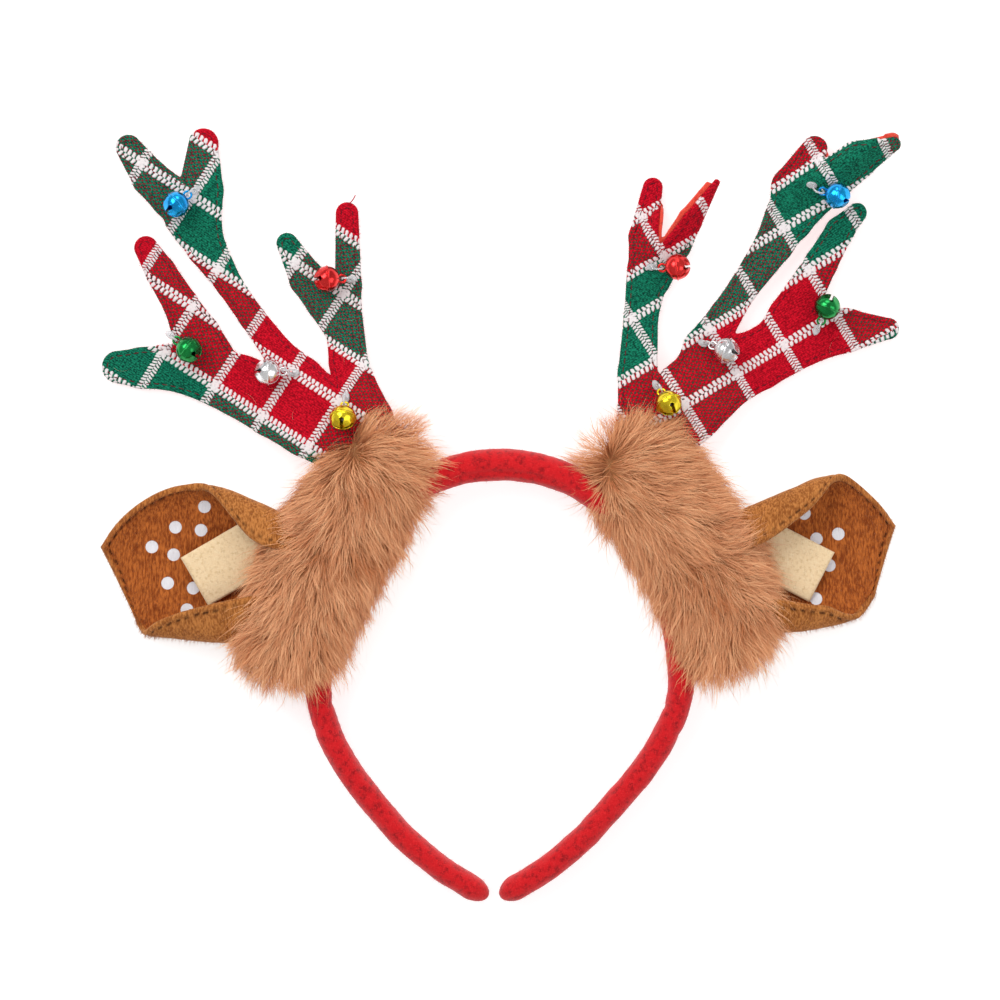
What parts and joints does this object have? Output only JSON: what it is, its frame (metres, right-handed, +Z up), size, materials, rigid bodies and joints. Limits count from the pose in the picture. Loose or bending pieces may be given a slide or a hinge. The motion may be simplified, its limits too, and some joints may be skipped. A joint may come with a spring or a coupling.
{
  "type": "reindeer antler headband",
  "caption": "Padded red felt headband with two plaid antlers, tan fur sleeves, brown plush ears and ten small jingle bells, lying on its back.",
  "frame": {"origin": "middle of the box on the surface that the headband lies on", "axes": "+X across the headband to the right as seen from its front, +Y from the leg tips to the antler tips, +Z up from the surface, towards the plaid fronts"},
  "size_m": [0.2979, 0.2872, 0.0339],
  "materials": {
    "band_felt": "bright red napped felt",
    "fur": "long tan pile",
    "plaid": "coarse woven red and green check with white stripes",
    "back_felt": "orange-red felt",
    "plush": "short brown plush",
    "cream_felt": "cream felt",
    "bell_blue": "metallic blue lacquer",
    "bell_red": "metallic red lacquer",
    "bell_green": "metallic green lacquer",
    "bell_silver": "bright silver plate",
    "bell_gold": "bright yellow gold plate",
    "clear_pin": "clear nylon",
    "pellet": "plain steel"
  },
  "bodies": {
    "root": {"felt_band": "band_felt", "fur_sleeve_left": "fur", "antler_front_left": "plaid", "antler_back_left": "back_felt", "ear_left": "plush", "ear_tab_left": "cream_felt", "bell_left_blue": "bell_blue", "pin_left_blue": "clear_pin", "pellet_left_blue": "pellet", "bell_left_red": "bell_red", "pin_left_red": "clear_pin", "pellet_left_red": "pellet", "bell_left_green": "bell_green", "pin_left_green": "clear_pin", "pellet_left_green": "pellet", "bell_left_silver": "bell_silver", "pin_left_silver": "clear_pin", "pellet_left_silver": "pellet", "bell_left_gold": "bell_gold", "pin_left_gold": "clear_pin", "pellet_left_gold": "pellet", "fur_sleeve_right": "fur", "antler_front_right": "plaid", "antler_back_right": "back_felt", "ear_right": "plush", "ear_tab_right": "cream_felt", "bell_right_blue": "bell_blue", "pin_right_blue": "clear_pin", "pellet_right_blue": "pellet", "bell_right_red": "bell_red", "pin_right_red": "clear_pin", "pellet_right_red": "pellet", "bell_right_green": "bell_green", "pin_right_green": "clear_pin", "pellet_right_green": "pellet", "bell_right_silver": "bell_silver", "pin_right_silver": "clear_pin", "pellet_right_silver": "pellet", "bell_right_gold": "bell_gold", "pin_right_gold": "clear_pin", "pellet_right_gold": "pellet"}
  },
  "joints": []
}
